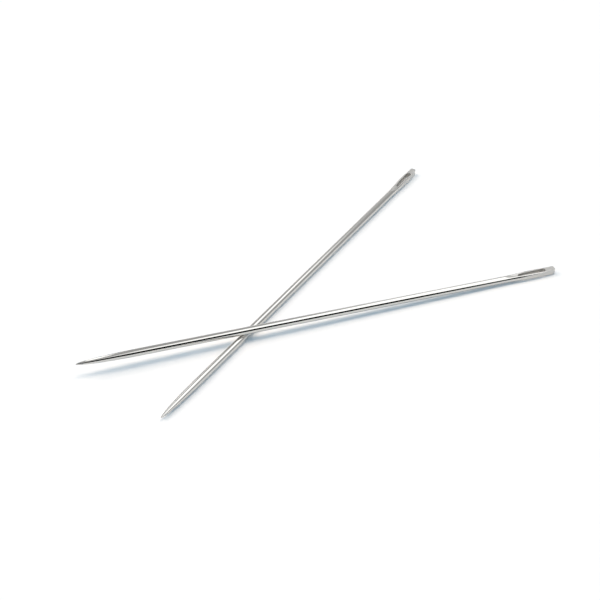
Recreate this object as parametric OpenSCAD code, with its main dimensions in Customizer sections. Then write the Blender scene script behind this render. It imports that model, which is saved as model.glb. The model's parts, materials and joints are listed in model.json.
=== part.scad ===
// A pair of long steel yarn needles that lie crossed, one resting over the other

/* [Needle] */
// Length of each needle, from its point to its cut end
needle_length = 127; // [100:1:180]
// Diameter of the round wire
wire_d = 1.9; // [1.6:0.05:2.3]
// Length of the ground point, which has the outline of a long ellipse
point_length = 16; // [8:0.5:22]

/* [Eye end] */
// Depth of each pressed face below the surface of the round wire
press_depth = 0.2; // [0.1:0.01:0.3]
// Length of the curved shoulder where the press bites into the round wire
shoulder_length = 1.2; // [0.8:0.1:1.6]
// Growth of the wire's radius where the pressing swells it around the eye
swell = 0.25; // [0.18:0.01:0.4]
// How far the flats ground on the two sides of the eye stand out past the round wire
side_spread = 0.15; // [0.05:0.01:0.17]
// Length of plain round wire made in one with the formed end
plain_stub = 1.7; // [0.5:0.1:6]

/* [Cut end] */
// Width of the cut end
butt_width = 1.45; // [1.3:0.05:1.7]
// Depth that the finishing takes off the wire at the cut end, above and below
end_trim = 0.075; // [0:0.005:0.1]
// Length over which the head narrows to the cut end
butt_taper = 5.5; // [2:0.1:7]
// Radius on the corners of the cut end, seen from above
butt_corner = 0.4; // [0.1:0.05:0.6]
// Radius on the top and bottom edges of the cut end
butt_edge = 0.25; // [0.1:0.05:0.4]

/* [Eye] */
// Distance from the cut end to the near end of the eye
eye_offset = 2.8; // [1.8:0.1:3.2]
// Length of the eye
eye_length = 7.9; // [6:0.1:9.5]
// Width of the eye at its round end, towards the cut end
eye_width = 1.25; // [0.9:0.05:1.4]
// Width of the eye at its narrow end, towards the point
eye_narrow_width = 0.75; // [0.5:0.05:0.9]
// Radius of the gutter that leads yarn down into the eye from the shank
gutter_r = 0.62; // [0.4:0.02:0.7]
// Depth of the gutter where it is deepest
gutter_depth = 0.34; // [0.1:0.02:0.46]
// Distance from the eye to where the gutter runs out
gutter_length = 2.5; // [1.5:0.1:3.4]
// Distance past the eye's narrow end to where the gutter is deepest
gutter_overrun = 0.8; // [0.4:0.1:1.5]
// Length of pressed face before the gutter begins, counted from the start of the shoulder
gutter_lead = 1.2; // [1.2:0.1:2]

/* [How the pair lies] */
// Angle between the two needles, seen from above
cross_angle = 39.5; // [25:0.1:70]
// Distance from the lower needle's point to the crossing
lower_cross = 34.1; // [30:0.1:50]
// Distance from the upper needle's point to the crossing
upper_cross = 41.1; // [35:0.1:60]
// Air left between the two needles where they cross
rest_gap = 0.03; // [0.02:0.01:0.1]

/* [Hidden] */
$fn = 48;

// Overrun of a cutting shape past the surface that it cuts
past = 1;
// Numbers of straight steps that a curved outline and the long point are drawn with
steps = 10;
point_steps = 20;

// Thicknesses and widths of the formed end, all taken from the wire that it is pressed out of
wire_r = wire_d / 2;
swell_r = wire_r + swell;
head_width = wire_d + 2 * side_spread;
head_thickness = wire_d - 2 * press_depth;
butt_thickness = wire_d - 2 * end_trim;

// Distances from the cut end to where the pressed faces begin and to where the plain wire does
pressed_length = eye_offset + eye_length + gutter_length + gutter_lead;
eye_end_length = pressed_length + plain_stub;
shank_length = needle_length - eye_end_length;

// Where the upper needle is: it leans from the wire it crosses down to its own cut end on the table.
// The first angle leaves out the lean of the gap between the two wires, and the second puts it in.
lean_run = needle_length - upper_cross;
level_gap = wire_d + rest_gap;
end_rise = butt_thickness / 2;
first_lean = asin((wire_r + level_gap - end_rise) / lean_run);
cross_gap = level_gap * sqrt(1 + pow(tan(first_lean) / sin(cross_angle), 2));
lean = asin((wire_r + cross_gap - end_rise * cos(first_lean)) / lean_run);

// The origin is on the table, at the middle of the space that the pair takes up
far_side = upper_cross * sin(cross_angle) * cos(lean);
near_side = lean_run * sin(cross_angle) * cos(lean) + butt_width / 2 * cos(cross_angle);
pair_centre = [needle_length / 2, (far_side - near_side) / 2];

// The gutter's floor is an arc of this radius along the needle
gutter_run = gutter_length + gutter_overrun;
gutter_arc_r = (pow(gutter_run, 2) + pow(gutter_depth, 2)) / (2 * gutter_depth);

// Rises smoothly from 0 to 1 as t goes from 0 to 1
function ease(t) = (1 - cos(180 * t)) / 2;

// Everything below is drawn along X, from the point at 0 to the cut end

// The plain wire and its point
module shank() {
    rotate([90, 0, 90])
        rotate_extrude()
            polygon(concat(
                [[0, 0]],
                [for (i = [1 : point_steps]) [
                    wire_r * sin(90 * i / point_steps),
                    point_length * (1 - cos(90 * i / point_steps))
                ]],
                [[wire_r, shank_length], [0, shank_length]]
            ));
}

// The end of the wire, swollen by the press from the shoulder to the middle of the eye
module swollen_wire() {
    swell_start = needle_length - pressed_length;
    swell_end = needle_length - eye_offset - eye_length / 2;
    rotate([90, 0, 90])
        rotate_extrude()
            polygon(concat(
                [[0, shank_length], [wire_r, shank_length]],
                [for (i = [0 : steps]) [
                    wire_r + (swell_r - wire_r) * ease(i / steps),
                    swell_start + (swell_end - swell_start) * i / steps
                ]],
                [[swell_r, needle_length], [0, needle_length]]
            ));
}

// The outline seen from above: full width along the eye, then narrower to the round corners of the cut end
module plan_outline() {
    corner_x = needle_length - butt_corner;
    corner_y = butt_width / 2 - butt_corner;
    for (side = [-1, 1])
        translate([corner_x, side * corner_y])
            circle(r = butt_corner);
    polygon([
        [shank_length - past, -head_width / 2],
        [needle_length - butt_taper, -head_width / 2],
        [corner_x, -butt_width / 2],
        [corner_x, butt_width / 2],
        [needle_length - butt_taper, head_width / 2],
        [shank_length - past, head_width / 2]
    ]);
    translate([corner_x - past, -corner_y])
        square([butt_corner + past, 2 * corner_y]);
}

// The outline seen from the side: a curved shoulder down to the pressed faces, and the thicker cut end
module side_outline() {
    clear = swell_r + past;
    press_x = needle_length - pressed_length;
    flat = head_thickness / 2;
    shoulder = [for (i = [0 : steps]) [
        press_x + shoulder_length * i / steps,
        flat + (wire_r - flat) * pow(1 - i / steps, 2)
    ]];
    rise = [for (i = [0 : steps]) [
        needle_length - eye_offset + (eye_offset - butt_edge) * i / steps,
        flat + (butt_thickness / 2 - flat) * ease(i / steps)
    ]];
    corner = [for (i = [1 : steps]) [
        needle_length - butt_edge + butt_edge * sin(90 * i / steps),
        butt_thickness / 2 - butt_edge + butt_edge * cos(90 * i / steps)
    ]];
    upper = concat([[shank_length - past, clear], [press_x, clear]], shoulder, rise, corner);
    polygon(concat(upper, [for (i = [len(upper) - 1 : -1 : 0]) [upper[i].x, -upper[i].y]]));
}

// The eye seen from above: two circles and the straight sides that touch both
module eye_outline() {
    wide_r = eye_width / 2;
    narrow_r = eye_narrow_width / 2;
    wide_x = needle_length - eye_offset - wide_r;
    narrow_x = needle_length - eye_offset - eye_length + narrow_r;
    lean_in = asin((wide_r - narrow_r) / (wide_x - narrow_x));
    touch = [sin(lean_in), cos(lean_in)];
    translate([wide_x, 0])
        circle(r = wide_r);
    translate([narrow_x, 0])
        circle(r = narrow_r);
    polygon([
        [narrow_x - narrow_r * touch.x, narrow_r * touch.y],
        [wide_x - wide_r * touch.x, wide_r * touch.y],
        [wide_x - wide_r * touch.x, -wide_r * touch.y],
        [narrow_x - narrow_r * touch.x, -narrow_r * touch.y]
    ]);
}

// The round-bottomed gutter in the top face, which sinks to the eye and fades out along its sides
module gutter() {
    deepest_x = needle_length - eye_offset - eye_length + gutter_overrun;
    floor_z = head_thickness / 2 - gutter_depth;
    translate([deepest_x, 0, floor_z + gutter_arc_r])
        rotate([90, 0, 0])
            rotate_extrude()
                translate([gutter_arc_r - gutter_r, 0])
                    circle(r = gutter_r);
}

// The pressed, pierced and ground end that carries the eye
module eye_end() {
    difference() {
        intersection() {
            swollen_wire();
            translate([0, 0, -swell_r - past])
                linear_extrude(height = 2 * (swell_r + past))
                    plan_outline();
            rotate([90, 0, 0])
                translate([0, 0, -swell_r - past])
                    linear_extrude(height = 2 * (swell_r + past))
                        side_outline();
        }
        translate([0, 0, -swell_r - past])
            linear_extrude(height = 2 * (swell_r + past))
                eye_outline();
        gutter();
        mirror([0, 0, 1])
            gutter();
    }
}

// Puts a needle flat on the table
module place_lower() {
    translate([-pair_centre.x, -pair_centre.y, wire_r])
        children();
}

// Puts a needle across the lower one, with its cut end down on the table
module place_upper() {
    translate([lower_cross - pair_centre.x, -pair_centre.y, wire_r + cross_gap])
        rotate([0, lean, -cross_angle])
            translate([-upper_cross, 0, 0])
                children();
}

module lower_needle_shank() {
    color("silver")
        place_lower()
            shank();
}

module lower_needle_eye_end() {
    color("silver")
        place_lower()
            eye_end();
}

module upper_needle_shank() {
    color("gainsboro")
        place_upper()
            shank();
}

module upper_needle_eye_end() {
    color("gainsboro")
        place_upper()
            eye_end();
}

lower_needle_shank();
lower_needle_eye_end();
upper_needle_shank();
upper_needle_eye_end();
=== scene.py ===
# Two long nickel-plated yarn needles, one lying across the other on a white table
import json
from math import asin, atan2, cos, pi, radians, sin, sqrt

import bmesh
import bpy
from mathutils import Matrix, Vector


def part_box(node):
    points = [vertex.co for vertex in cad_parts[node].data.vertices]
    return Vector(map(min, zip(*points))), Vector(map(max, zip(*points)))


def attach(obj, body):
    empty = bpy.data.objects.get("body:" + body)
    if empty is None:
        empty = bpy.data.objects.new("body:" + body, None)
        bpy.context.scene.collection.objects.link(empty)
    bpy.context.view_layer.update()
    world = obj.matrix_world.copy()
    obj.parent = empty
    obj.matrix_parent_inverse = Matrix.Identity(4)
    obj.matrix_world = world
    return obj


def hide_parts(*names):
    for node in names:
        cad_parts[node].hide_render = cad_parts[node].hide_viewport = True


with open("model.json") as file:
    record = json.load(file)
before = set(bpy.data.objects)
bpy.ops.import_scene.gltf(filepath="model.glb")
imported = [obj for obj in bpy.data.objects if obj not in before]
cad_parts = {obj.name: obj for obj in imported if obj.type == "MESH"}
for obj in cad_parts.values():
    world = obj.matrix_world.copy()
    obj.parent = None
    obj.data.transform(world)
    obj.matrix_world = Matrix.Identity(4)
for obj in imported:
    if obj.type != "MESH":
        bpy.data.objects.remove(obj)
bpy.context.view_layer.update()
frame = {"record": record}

MM = 0.001

# Sizes of one needle, as in its solids. X runs along it from its point at 0, and Z is up through
# its eye.
shank_low, shank_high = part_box("lower_needle_shank")
head_low, head_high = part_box("lower_needle_eye_end")
NEEDLE_LENGTH = head_high.x - shank_low.x
WIRE_R = (shank_high.z - shank_low.z) / 2
HEAD_HALF_WIDTH = (head_high.y - head_low.y) / 2
POINT_LENGTH = 16 * MM

# The eye, at its offset from the cut end, with a wide end towards it and a rounded rim
EYE_OFFSET = 2.8 * MM
EYE_LENGTH = 7.9 * MM
EYE_WIDE_R = 0.625 * MM
EYE_NARROW_R = 0.375 * MM
RIM_R = 0.12 * MM

# The gutter that leads down into the eye. It is deepest at its overrun past the eye's narrow end,
# and its lead is the pressed face before it.
GUTTER_R = 0.62 * MM
GUTTER_DEPTH = 0.34 * MM
GUTTER_LENGTH = 2.5 * MM
GUTTER_OVERRUN = 0.8 * MM
GUTTER_LEAD = 1.2 * MM

# The pressed faces, and the swelling of the wire that is greatest at the middle of the eye
PRESSED_X = NEEDLE_LENGTH - EYE_OFFSET - EYE_LENGTH - GUTTER_LENGTH - GUTTER_LEAD
SHOULDER_LENGTH = 1.2 * MM
PRESS_DEPTH = 0.2 * MM
FACE_HEIGHT = WIRE_R - PRESS_DEPTH
SWELL = 0.25 * MM
SWELL_X = NEEDLE_LENGTH - EYE_OFFSET - EYE_LENGTH / 2

# The cut end, with its corners seen from above and its edges seen from the side
BUTT_HALF_WIDTH = 0.725 * MM
BUTT_HALF_HEIGHT = 0.875 * MM
BUTT_TAPER = 5.5 * MM
BUTT_CORNER = 0.4 * MM
BUTT_EDGE = 0.25 * MM

# Widths of the burnished edges of the pressed faces, the ground sides and the gutter
PRESSED_EDGE = 0.1 * MM
GROUND_EDGE = 0.06 * MM
GUTTER_EDGE = 0.08 * MM

# How deep a tool has gone into the round wire where its satin finish is full
SATIN_DEPTH = 0.07 * MM

# Columns of the mesh over a quarter of the wire, and the columns that follow the edge of the ground
# side, the edge of the pressed face and the rim of the eye
QUARTER = 16
GROUND_COLUMN = 4
PRESSED_COLUMN = 8
RIM_COLUMN = 10
COLUMN_TURN = pi / 2 / QUARTER
HOLE_COLUMNS = QUARTER - RIM_COLUMN

# The ground side ends below this share of the angle at which the pressed face begins
SIDE_SHARE = 0.61

# Rows of the mesh, close together on the point and the head and far apart on the shank between them
POINT_ROWS = 40
SHANK_STEP = 2 * MM
LEAD_IN = 2 * MM
LEAD_STEP = 0.5 * MM
SHOULDER_STEP = 0.1 * MM
HEAD_STEP = 0.14 * MM
CORNER_ROWS = 10

# How far around each tip of the eye the mesh meets the outline in columns instead of rows
TIP_ARC = radians(60)

# Rows past the eye that are evened out, the passes that do it and the share that each pass evens
EVENED_ROWS = 9
EVENING_PASSES = 60
EVENING_SHARE = 0.5

# Steps over the rim of the eye and down its wall
RIM_STEPS = 4
WALL_STEPS = 3

# Painted shade and wear at the bottom of the gutter, where the wall of the eye has 1 and the plain
# wire 0. The shade darkens the plate's colour and the wear roughens it
GUTTER_SHADE_AND_WEAR = 0.5

# Ring of faces that keeps the cut end's cap flat, gap that is welded shut, and what counts as 0
CAP_RING = 0.08 * MM
WELD = 0.0001 * MM
TINY = 1e-6

# The viewpoint that was fitted to the photograph, with its lens and sensor in millimetres. Turns,
# rises and falls are in degrees, here and below.
LOOK_AT = Vector((-7.81, 11.17, 0)) * MM
VIEW_TURN = 30.77
VIEW_FALL = 36.35
VIEW_DISTANCE = 321.2 * MM
SENSOR = 36
FOCAL_LENGTH = 75.3

# Light on the table, warm from the lamps and cool from the room
LAMP_DISTANCE = 8
WARM_LAMP = (1, 0.813, 0.654)
COOL_FILL = (0.158, 0.333, 0.475, 1)

# The table, with the lift that keeps it white and its shadows pale
TABLE_WHITE = (0.9, 0.9, 0.9, 1)
TABLE_LIFT = 0.11
TABLE_R = 0.8
TABLE_SIDES = 64
WHITE = (1, 1, 1, 1)

# The cards that the metal reflects, each a mesh of so many steps a side
ROOM_DISTANCE = 2.6
WALL_DISTANCE = 2.4
FRONT_DISTANCE = 0.9
PANEL_HEIGHT = 1.1
CARD_STEPS = 32

# The plate, with polishing marks drawn out along the wire and clouds of uneven polish
NICKEL = (0.6, 0.595, 0.577, 1)
# Darker steel mixed into the nickel as painted shade in the eye and the gutter, and at random where
# the polish is clouded
DULL_STEEL_AND_SHADE = (0.3, 0.28, 0.25, 1)
MARK_GRAIN = (150, 26000, 26000)
MARK_DETAIL = 3
MARK_DEPTH = 0.0007 * MM
MARK_STRENGTH = 0.35
CLOUD_SCALE = 260
CLOUD_DETAIL = 4

# How much the plate is darkened by painted shade in the eye and the gutter, and dulled where clouded
RECESS_SHADE_DARKNESS = 0.12
CLOUD_DULLNESS = 0.1

# How rough the plate is, and how much rougher where it is marked, clouded, worn or satin
PLATE_ROUGHNESS = 0.03
MARK_ROUGHNESS = 0.08
CLOUD_ROUGHNESS = 0.05
WORN_ROUGHNESS = 0.06
SATIN_ROUGHNESS = 0.36

# Numbers of a Mix node's colour sockets
MIX_SHARE = 0
MIX_FIRST = 6
MIX_SECOND = 7
MIX_RESULT = 2


def ease(share):
    """Rises smoothly from 0 to 1 as the share does."""
    share = min(max(share, 0), 1)
    return (1 - cos(pi * share)) / 2


def soft_min(first, second, width):
    """The smaller of two heights, rounded over a width where they cross."""
    reach = max(width - abs(first - second), 0) / width
    return min(first, second) - reach * reach * width / 4


def wire_radius(x):
    """Radius of the round wire, with its point's long ellipse and the swelling around the eye."""
    if x < POINT_LENGTH:
        return WIRE_R * sqrt(1 - (1 - x / POINT_LENGTH) ** 2)
    return WIRE_R + SWELL * ease((x - PRESSED_X) / (SWELL_X - PRESSED_X))


def corner_inset(x, radius):
    """How far a rounded corner of the cut end draws in from the full width."""
    into = max(x - (NEEDLE_LENGTH - radius), 0)
    return radius - sqrt(max(radius**2 - into**2, 0))


def half_width(x):
    """Half the width between the ground sides, which narrow to the cut end."""
    taper = (x - (NEEDLE_LENGTH - BUTT_TAPER)) / (BUTT_TAPER - BUTT_CORNER)
    narrowing = min(max(taper, 0), 1) * (HEAD_HALF_WIDTH - BUTT_HALF_WIDTH)
    return HEAD_HALF_WIDTH - narrowing - corner_inset(x, BUTT_CORNER)


def half_height(x):
    """Half the thickness between the pressed faces, which rise to the thicker cut end."""
    shoulder = max(1 - (x - PRESSED_X) / SHOULDER_LENGTH, 0) ** 2 * PRESS_DEPTH
    rise = ease((x - (NEEDLE_LENGTH - EYE_OFFSET)) / (EYE_OFFSET - BUTT_EDGE))
    thicker = rise * (BUTT_HALF_HEIGHT - FACE_HEIGHT)
    return FACE_HEIGHT + shoulder + thicker - corner_inset(x, BUTT_EDGE)


def gutter_height(x, y):
    """Height of the gutter's round bottom, which sinks along a long arc towards the eye."""
    deepest = NEEDLE_LENGTH - EYE_OFFSET - EYE_LENGTH + GUTTER_OVERRUN
    sunk = GUTTER_DEPTH * (1 - ((x - deepest) / (GUTTER_LENGTH + GUTTER_OVERRUN)) ** 2)
    return FACE_HEIGHT - sunk + GUTTER_R - sqrt(max(GUTTER_R**2 - y**2, 0))


def face_surface(x, y):
    """Height of the head's upper surface before the gutter is cut, at a place seen from above."""
    round_height = sqrt(max(wire_radius(x) ** 2 - y**2, 0))
    return soft_min(round_height, half_height(x), PRESSED_EDGE)


def formed_share(place):
    """1 where a tool has pressed or ground the wire, falling to 0 on its round surface."""
    depth = wire_radius(place.x) - sqrt(place.y**2 + place.z**2)
    return ease(depth / SATIN_DEPTH)


def edge_angles(x):
    """Angles around the wire at which the ground side ends and the pressed face begins."""
    radius, width, height = wire_radius(x), half_width(x), half_height(x)
    ground = COLUMN_TURN * GROUND_COLUMN
    pressed = COLUMN_TURN * PRESSED_COLUMN
    if x > PRESSED_X:
        face_edge = min(width, sqrt(max(radius**2 - height**2, 0)))
        corner = atan2(height, face_edge)
        pressed += (corner - pressed) * ease((x - PRESSED_X) / SHOULDER_LENGTH)
        if width < radius:
            side_top = min(atan2(sqrt(radius**2 - width**2), width), corner * SIDE_SHARE)
            ground += (side_top - ground) * ease((radius - width) / GROUND_EDGE)
    return ground, pressed


def column_angle(x, column):
    """Angle around the wire of a column, counted from one side over the top to the other."""
    if column > QUARTER:
        return pi - column_angle(x, 2 * QUARTER - column)
    ground, pressed = edge_angles(x)
    if column <= GROUND_COLUMN:
        return ground * column / GROUND_COLUMN
    if column <= PRESSED_COLUMN:
        share = (column - GROUND_COLUMN) / (PRESSED_COLUMN - GROUND_COLUMN)
        return ground + (pressed - ground) * share
    share = (column - PRESSED_COLUMN) / (QUARTER - PRESSED_COLUMN)
    return pressed + (pi / 2 - pressed) * share


def section_point(x, column):
    """Where a column crosses the upper half of the section at x."""
    angle = column_angle(x, column)
    across, up = cos(angle), sin(angle)
    reach = wire_radius(x)
    if abs(across) > TINY:
        reach = soft_min(reach, half_width(x) / abs(across), GROUND_EDGE)
    if up > TINY:
        reach = soft_min(reach, half_height(x) / up, PRESSED_EDGE)
    return Vector((x, reach * across, reach * up))


# The eye's outline is two arcs and the straight sides that touch both
EYE_WIDE_X = NEEDLE_LENGTH - EYE_OFFSET - EYE_WIDE_R
EYE_NARROW_X = NEEDLE_LENGTH - EYE_OFFSET - EYE_LENGTH + EYE_NARROW_R
EYE_TOUCH = pi / 2 + asin((EYE_WIDE_R - EYE_NARROW_R) / (EYE_WIDE_X - EYE_NARROW_X))
NARROW_ARC = EYE_NARROW_R * (pi - EYE_TOUCH)
STRAIGHT_SIDE = sqrt((EYE_WIDE_X - EYE_NARROW_X) ** 2 - (EYE_WIDE_R - EYE_NARROW_R) ** 2)
HALF_OUTLINE = NARROW_ARC + STRAIGHT_SIDE + EYE_WIDE_R * EYE_TOUCH


def eye_point(travel, grow):
    """A point at a travel along half of the eye's outline from its narrow tip, grown outwards."""
    narrow_r, wide_r = EYE_NARROW_R + grow, EYE_WIDE_R + grow
    if travel < NARROW_ARC:
        angle = pi - travel / EYE_NARROW_R
        return EYE_NARROW_X + narrow_r * cos(angle), narrow_r * sin(angle)
    if travel > NARROW_ARC + STRAIGHT_SIDE:
        angle = (HALF_OUTLINE - travel) / EYE_WIDE_R
        return EYE_WIDE_X + wide_r * cos(angle), wide_r * sin(angle)
    share = (travel - NARROW_ARC) / STRAIGHT_SIDE
    centre_x = EYE_NARROW_X + (EYE_WIDE_X - EYE_NARROW_X) * share
    radius = EYE_NARROW_R + (EYE_WIDE_R - EYE_NARROW_R) * share + grow
    return centre_x + radius * cos(EYE_TOUCH), radius * sin(EYE_TOUCH)


def spread(start, end, step):
    """Even stations from start up to, but not with, end."""
    count = max(round((end - start) / step), 1)
    return [start + (end - start) * i / count for i in range(count)]


def needle_stations():
    """Where the rows lie, which ones the eye starts and ends on, and their travels on its outline."""
    first_travel = EYE_NARROW_R * TIP_ARC
    last_travel = HALF_OUTLINE - EYE_WIDE_R * TIP_ARC
    side_travels = spread(first_travel, last_travel, HEAD_STEP) + [last_travel]
    side_stations = [eye_point(travel, RIM_R)[0] for travel in side_travels]
    stations = [POINT_LENGTH * (1 - cos(pi / 2 * i / POINT_ROWS)) for i in range(POINT_ROWS)]
    stations += spread(POINT_LENGTH, PRESSED_X - LEAD_IN, SHANK_STEP)
    stations += spread(PRESSED_X - LEAD_IN, PRESSED_X - LEAD_STEP, LEAD_STEP)
    stations += spread(PRESSED_X - LEAD_STEP, PRESSED_X + SHOULDER_LENGTH, SHOULDER_STEP)
    stations += spread(PRESSED_X + SHOULDER_LENGTH, side_stations[0], HEAD_STEP)
    first_row = len(stations)
    stations += side_stations
    last_row = len(stations) - 1
    corner_x = NEEDLE_LENGTH - BUTT_CORNER
    stations += spread(side_stations[-1], corner_x, HEAD_STEP)[1:]
    corner_turns = [pi / 2 * i / CORNER_ROWS for i in range(CORNER_ROWS + 1)]
    stations += [corner_x + BUTT_CORNER * sin(turn) for turn in corner_turns]
    return stations, first_row, last_row, side_travels


def verts_of(edges):
    """The vertices of some edges, each once."""
    return {vert for edge in edges for vert in edge.verts}


def place_on_outline(vert, travel, grow):
    """Moves a vertex sideways onto the eye's outline, on its own side of the needle."""
    x, y = eye_point(travel, grow)
    vert.co.x = x
    vert.co.y = y if vert.co.y > 0 else -y


def next_ring(bm, edges):
    """Extrudes a ring of edges and gives the new ring's edges and vertices."""
    made = bmesh.ops.extrude_edge_only(bm, edges=edges)["geom"]
    verts = [item for item in made if isinstance(item, bmesh.types.BMVert)]
    new = set(verts)
    ring = [
        item
        for item in made
        if isinstance(item, bmesh.types.BMEdge) and all(vert in new for vert in item.verts)
    ]
    return ring, verts


def open_eye(bm, first_row, last_row, side_travels):
    """Cuts the eye's hole out of the mesh, puts its edge on the outline and gives that edge."""
    row_of = bm.verts.layers.int["row"]
    column_of = bm.verts.layers.int["column"]
    travel_of = bm.verts.layers.float["travel"]

    def in_eye(vert):
        from_middle = abs(vert[column_of] - QUARTER)
        return first_row <= vert[row_of] <= last_row and from_middle <= HOLE_COLUMNS

    hole = [face for face in bm.faces if all(in_eye(vert) for vert in face.verts)]
    bmesh.ops.delete(bm, geom=hole, context="FACES")
    boundary = [edge for edge in bm.edges if edge.is_boundary]
    rim = [edge for edge in boundary if all(in_eye(vert) for vert in edge.verts)]
    for vert in verts_of(rim):
        share = abs(vert[column_of] - QUARTER) / HOLE_COLUMNS
        if vert[row_of] == first_row:
            vert[travel_of] = EYE_NARROW_R * TIP_ARC * share
        elif vert[row_of] == last_row:
            vert[travel_of] = HALF_OUTLINE - EYE_WIDE_R * TIP_ARC * share
        else:
            vert[travel_of] = side_travels[vert[row_of] - first_row]
        place_on_outline(vert, vert[travel_of], RIM_R)
    return rim


def even_face(bm, rim, first_row, last_row):
    """Evens out the mesh around the eye seen from above, then sets it back to its true height."""
    row_of = bm.verts.layers.int["row"]
    column_of = bm.verts.layers.int["column"]
    rim_verts = verts_of(rim)
    around = [
        vert
        for vert in bm.verts
        if first_row - EVENED_ROWS <= vert[row_of] <= last_row + EVENED_ROWS
        and abs(vert[column_of] - QUARTER) < QUARTER - PRESSED_COLUMN
        and vert not in rim_verts
    ]
    for _ in range(EVENING_PASSES):
        bmesh.ops.smooth_vert(
            bm,
            verts=around,
            factor=EVENING_SHARE,
            use_axis_x=True,
            use_axis_y=True,
        )
    for vert in around + list(rim_verts):
        vert.co.z = face_surface(vert.co.x, vert.co.y)


def sink_gutter(bm):
    """Records where the wire is formed, lowers the gutter into its face and records its painted shade
    and wear.
    """
    recess_shade_and_wear_of = bm.verts.layers.float["recess_shade_and_wear"]
    formed_of = bm.verts.layers.float["formed"]
    for vert in bm.verts:
        if vert.co.x > PRESSED_X:
            vert[formed_of] = formed_share(vert.co)
        if abs(vert.co.y) < GUTTER_R:
            uncut = vert.co.z
            vert.co.z = soft_min(uncut, gutter_height(vert.co.x, vert.co.y), GUTTER_EDGE)
            # Painted shade and wear, greater where the gutter is sunk deeper
            vert[recess_shade_and_wear_of] = min((uncut - vert.co.z) / GUTTER_DEPTH, 1) * GUTTER_SHADE_AND_WEAR


def line_eye(bm, rim):
    """Rounds the eye's rim and carries its wall down to the middle of the wire."""
    travel_of = bm.verts.layers.float["travel"]
    recess_shade_and_wear_of = bm.verts.layers.float["recess_shade_and_wear"]
    for step in range(RIM_STEPS):
        before, after = pi / 2 * step / RIM_STEPS, pi / 2 * (step + 1) / RIM_STEPS
        rim, verts = next_ring(bm, rim)
        for vert in verts:
            place_on_outline(vert, vert[travel_of], RIM_R * (1 - sin(after)))
            vert.co.z -= RIM_R * (cos(before) - cos(after))
            # The rim and wall take full painted shade and wear, which darken and roughen the plate
            # there
            vert[recess_shade_and_wear_of] += (1 - vert[recess_shade_and_wear_of]) / (RIM_STEPS - step)
    for step in range(WALL_STEPS):
        rim, verts = next_ring(bm, rim)
        for vert in verts:
            vert.co.z *= 1 - 1 / (WALL_STEPS - step)


def upper_half():
    """The upper half of a needle, shaped on a grid of rows along it and columns over it."""
    stations, first_row, last_row, side_travels = needle_stations()
    rows = len(stations) - 1
    columns = 2 * QUARTER
    bm = bmesh.new()
    for layer in ("row", "column"):
        bm.verts.layers.int.new(layer)
    for layer in ("travel", "recess_shade_and_wear", "formed"):
        bm.verts.layers.float.new(layer)
    row_of = bm.verts.layers.int["row"]
    column_of = bm.verts.layers.int["column"]
    bmesh.ops.create_grid(bm, x_segments=rows, y_segments=columns, size=1)
    for vert in bm.verts:
        vert[row_of] = round((vert.co.x + 1) / 2 * rows)
        vert[column_of] = round((vert.co.y + 1) / 2 * columns)
        vert.co = section_point(stations[vert[row_of]], vert[column_of])
    rim = open_eye(bm, first_row, last_row, side_travels)
    even_face(bm, rim, first_row, last_row)
    sink_gutter(bm)
    line_eye(bm, rim)
    return bm


def close_needle(bm):
    """Mirrors the upper half through the middle of the wire and caps the cut end."""
    half = bm.verts[:] + bm.edges[:] + bm.faces[:]
    bmesh.ops.mirror(bm, geom=half, axis="Z", merge_dist=WELD)
    bmesh.ops.remove_doubles(bm, verts=bm.verts, dist=WELD)
    cut_end = [edge for edge in bm.edges if edge.is_boundary]
    cap = bmesh.ops.holes_fill(bm, edges=cut_end)["faces"]
    bmesh.ops.inset_region(bm, faces=cap, thickness=CAP_RING)
    bmesh.ops.recalc_face_normals(bm, faces=bm.faces)


def add_object(name, data):
    """A new object in the scene, at the origin."""
    made = bpy.data.objects.new(name, data)
    bpy.context.scene.collection.objects.link(made)
    return made


def add_mesh(name, bm):
    """A new object in the scene, with the mesh that has been built."""
    mesh = bpy.data.meshes.new(name)
    bm.to_mesh(mesh)
    bm.free()
    return add_object(name, mesh)


def make_needle(name, placement):
    """One whole needle where it lies, smoothed by one level of subdivision."""
    bm = upper_half()
    close_needle(bm)
    bmesh.ops.transform(bm, matrix=placement, verts=bm.verts)
    counts, measures = bm.verts.layers.int, bm.verts.layers.float
    counts.remove(counts["row"])
    counts.remove(counts["column"])
    measures.remove(measures["travel"])
    needle = add_mesh(name, bm)
    needle.data.shade_smooth()
    finer = needle.modifiers.new("finer", "SUBSURF")
    finer.levels = finer.render_levels = 1
    return needle


def placement_of(body):
    """Where a needle lies: its cut end's mount gives its line, and its eye's mount its upright."""
    mounts = {mount["name"]: mount for mount in frame["record"]["mounts"]}
    butt, eye = mounts[body + "_butt"], mounts[body + "_eye"]
    along = Vector(butt["axis"]).normalized()
    across = Vector(eye["axis"]).cross(along).normalized()
    up = along.cross(across)
    point = Vector(butt["pos_m"]) - along * NEEDLE_LENGTH
    return Matrix.Translation(point) @ Matrix((along, across, up)).transposed().to_4x4()


class Value:
    """A socket in a material's nodes, so that shader maths is written as plain arithmetic."""

    def __init__(self, finish, socket):
        self.finish = finish
        self.socket = socket

    def maths(self, operation, other):
        """What one of the Math node's operations makes of this value and another."""
        return self.finish.add("ShaderNodeMath", self, other, operation=operation)

    def __add__(self, other):
        return self.maths("ADD", other)

    def __mul__(self, other):
        return self.maths("MULTIPLY", other)


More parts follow.
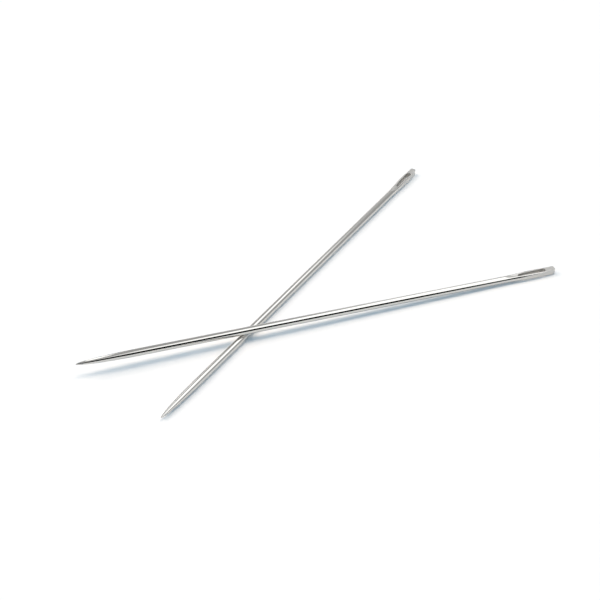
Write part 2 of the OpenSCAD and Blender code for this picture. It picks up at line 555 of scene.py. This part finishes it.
class Finish:
    """The nodes of one material, or of the world."""

    def __init__(self, owner):
        owner.use_nodes = True
        self.tree = owner.node_tree
        self.tree.nodes.clear()

    def add(self, kind, *values, output=0, named=None, **settings):
        """Adds a node, gives its inputs their values or links, and gives one of its outputs."""
        node = self.tree.nodes.new(kind)
        for setting, value in settings.items():
            setattr(node, setting, value)
        for key, value in [*enumerate(values), *(named or {}).items()]:
            if isinstance(value, Value):
                self.tree.links.new(value.socket, node.inputs[key])
            else:
                node.inputs[key].default_value = value
        return Value(self, node.outputs[output]) if len(node.outputs) else None


def own_coordinates(finish, placement):
    """Object coordinates turned and moved to a needle's own, with X along the wire."""
    back = placement.inverted()
    place = finish.add("ShaderNodeTexCoord", output="Object")
    named = {"Vector": place, "Location": back.to_translation(), "Rotation": back.to_euler()}
    return finish.add("ShaderNodeMapping", named=named)


def noise(finish, place, scale, detail):
    """A noise texture at a place."""
    named = {"Vector": place, "Scale": scale, "Detail": detail}
    return finish.add("ShaderNodeTexNoise", named=named)


def polished_nickel(name, placement):
    """Bright nickel plate over drawn wire, with fine marks along it, and painted shade and rougher
    metal in the eye.
    """
    material = bpy.data.materials.new(name)
    finish = Finish(material)
    own = own_coordinates(finish, placement)
    drawn_out = finish.add("ShaderNodeVectorMath", own, MARK_GRAIN, operation="MULTIPLY")
    marks = noise(finish, drawn_out, 1, MARK_DETAIL)
    clouds = noise(finish, own, CLOUD_SCALE, CLOUD_DETAIL)
    recess_shade_and_wear = finish.add("ShaderNodeAttribute", attribute_name="recess_shade_and_wear", output="Fac")
    formed = finish.add("ShaderNodeAttribute", attribute_name="formed", output="Fac")
    # Painted shade in the eye and the gutter, plus random clouds of duller polish, darken the nickel
    shade_and_dullness = recess_shade_and_wear * RECESS_SHADE_DARKNESS + clouds * CLOUD_DULLNESS
    colour = finish.add(
        "ShaderNodeMix",
        named={MIX_SHARE: shade_and_dullness, MIX_FIRST: NICKEL, MIX_SECOND: DULL_STEEL_AND_SHADE},
        data_type="RGBA",
        output=MIX_RESULT,
    )
    polish = marks * MARK_ROUGHNESS + clouds * CLOUD_ROUGHNESS
    roughness = polish + recess_shade_and_wear * WORN_ROUGHNESS + formed * SATIN_ROUGHNESS + PLATE_ROUGHNESS
    bump = finish.add(
        "ShaderNodeBump",
        named={"Strength": MARK_STRENGTH, "Distance": MARK_DEPTH, "Height": marks},
    )
    metal = finish.add(
        "ShaderNodeBsdfPrincipled",
        named={"Base Color": colour, "Metallic": 1, "Roughness": roughness, "Normal": bump},
    )
    finish.add("ShaderNodeOutputMaterial", metal)
    return material


def direction(turn, rise):
    """Direction from the object, turned to the right of straight away from the camera and up."""
    around = radians(VIEW_TURN) - radians(turn)
    up = radians(rise)
    return Vector((cos(up) * cos(around), cos(up) * sin(around), sin(up)))


def standing(turns, rises, distance):
    """Where a card stands around the object, between two directions and two rises."""

    def place(across, up):
        turn = turns[0] + (turns[1] - turns[0]) * across
        rise = rises[0] + (rises[1] - rises[0]) * up
        return direction(turn, rise) * distance

    return place


def overhead(near_left, near_right, far_left, far_right):
    """Where a panel hangs: its corners lie so many of its own heights away and to the right."""

    def place(across, up):
        near = Vector(near_left).lerp(Vector(near_right), across)
        far = Vector(far_left).lerp(Vector(far_right), across)
        away, right = near.lerp(far, up)
        level = direction(0, 0) * away + direction(90, 0) * right
        return (level + Vector((0, 0, 1))) * PANEL_HEIGHT

    return place


def make_card(name, place, fades, glow):
    """A card seen only in the metal, which fades out at its left, right, low and high sides."""
    bm = bmesh.new()
    cover_of = bm.verts.layers.float.new("cover")
    bmesh.ops.create_grid(bm, x_segments=CARD_STEPS, y_segments=CARD_STEPS, size=0.5)
    for vert in bm.verts:
        across, up = vert.co.x + 0.5, vert.co.y + 0.5
        inside = zip((across, 1 - across, up, 1 - up), fades)
        vert[cover_of] = min(ease(share / fade) if fade else 1 for share, fade in inside)
        vert.co = place(across, up)
    card = add_mesh(name, bm)
    card.visible_camera = card.visible_diffuse = card.visible_shadow = False
    material = bpy.data.materials.new(name)
    finish = Finish(material)
    cover = finish.add("ShaderNodeAttribute", attribute_name="cover", output="Fac")
    clear = finish.add("ShaderNodeBsdfTransparent")
    shine = finish.add("ShaderNodeEmission", (glow, glow, glow, 1), 1)
    mixed = finish.add("ShaderNodeMixShader", cover, clear, shine)
    finish.add("ShaderNodeOutputMaterial", mixed)
    card.data.materials.append(material)


def make_table():
    """A white table that keeps the needles' shadows, as white in the metal as to the camera."""
    bm = bmesh.new()
    bmesh.ops.create_circle(bm, cap_ends=True, radius=TABLE_R, segments=TABLE_SIDES)
    table = add_mesh("table", bm)
    material = bpy.data.materials.new("white_table")
    finish = Finish(material)
    matt = finish.add("ShaderNodeBsdfDiffuse", TABLE_WHITE)
    lift = finish.add("ShaderNodeEmission", WHITE, seen_directly(finish) * TABLE_LIFT)
    both = finish.add("ShaderNodeAddShader", matt, lift)
    finish.add("ShaderNodeOutputMaterial", both)
    table.data.materials.append(material)


def seen_directly(finish):
    """1 for a ray from the camera, off metal or through a clear card, and 0 for one that lights."""
    rays = "ShaderNodeLightPath"
    camera = finish.add(rays, output="Is Camera Ray")
    glossy = finish.add(rays, output="Is Glossy Ray")
    through = finish.add(rays, output="Is Transmission Ray")
    return camera.maths("MAXIMUM", glossy.maths("MAXIMUM", through))


def make_world():
    """A room that is white to the camera and in the metal, and lights the table with cool light."""
    world = bpy.data.worlds.new("white_room")
    finish = Finish(world)
    fill = finish.add("ShaderNodeBackground", COOL_FILL, 1)
    white = finish.add("ShaderNodeBackground", WHITE, 1)
    mixed = finish.add("ShaderNodeMixShader", seen_directly(finish), fill, white)
    finish.add("ShaderNodeOutputWorld", mixed)
    bpy.context.scene.world = world


def make_lamp(name, turn, rise, power, size):
    """A round lamp that lights the table. The metal shows the cards instead of it."""
    light = bpy.data.lights.new(name, "AREA")
    light.shape = "DISK"
    light.size = size
    light.energy = power
    light.color = WARM_LAMP
    lamp = add_object(name, light)
    towards = direction(turn, rise)
    lamp.location = towards * LAMP_DISTANCE
    lamp.rotation_euler = towards.to_track_quat("Z", "Y").to_euler()
    lamp.visible_glossy = False


def make_camera():
    """The photograph's viewpoint."""
    camera = bpy.data.cameras.new("camera")
    camera.sensor_width = SENSOR
    camera.lens = FOCAL_LENGTH
    viewer = add_object("camera", camera)
    towards = direction(0, -VIEW_FALL)
    viewer.location = LOOK_AT - towards * VIEW_DISTANCE
    viewer.rotation_euler = towards.to_track_quat("-Z", "Y").to_euler()
    bpy.context.scene.camera = viewer


make_camera()
make_world()
make_table()
make_lamp("left_lamp", turn=-81, rise=52, power=400, size=6.4)
make_lamp("overhead_lamp", turn=60, rise=80, power=292, size=4.4)
make_card(
    "grey_room",
    standing(turns=(-180, 180), rises=(1, 90), distance=ROOM_DISTANCE),
    fades=(0, 0, 0.08, 0),
    glow=0.506,
)
make_card(
    "far_wall",
    standing(turns=(-14, 45), rises=(1, 42), distance=WALL_DISTANCE),
    fades=(0.25, 0.2, 0.1, 0.2),
    glow=0.75,
)
make_card(
    "window",
    overhead(
        near_left=(-0.85, 0.17),
        near_right=(-1.35, 1.45),
        far_left=(1.35, 0.13),
        far_right=(0.38, 1.5),
    ),
    fades=(0.1, 0.15, 0.26, 0.12),
    glow=1.95,
)
make_card(
    "left_light",
    overhead(
        near_left=(0.05, -0.12),
        near_right=(0.05, 0),
        far_left=(3, -1.1),
        far_right=(3, -0.72),
    ),
    fades=(0.2, 0.2, 0.03, 0.1),
    glow=2.2,
)
make_card(
    "dark_front",
    standing(turns=(120, 232), rises=(0, 49), distance=FRONT_DISTANCE),
    fades=(0.1, 0.1, 0, 0.16),
    glow=0,
)

for body in ("lower", "upper"):
    placement = placement_of(body)
    needle = make_needle(body + "_needle", placement)
    needle.data.materials.append(polished_nickel(body + "_nickel", placement))
    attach(needle, body + "_needle")
    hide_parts(body + "_needle_shank", body + "_needle_eye_end")

bpy.context.scene.view_settings.view_transform = "Standard"
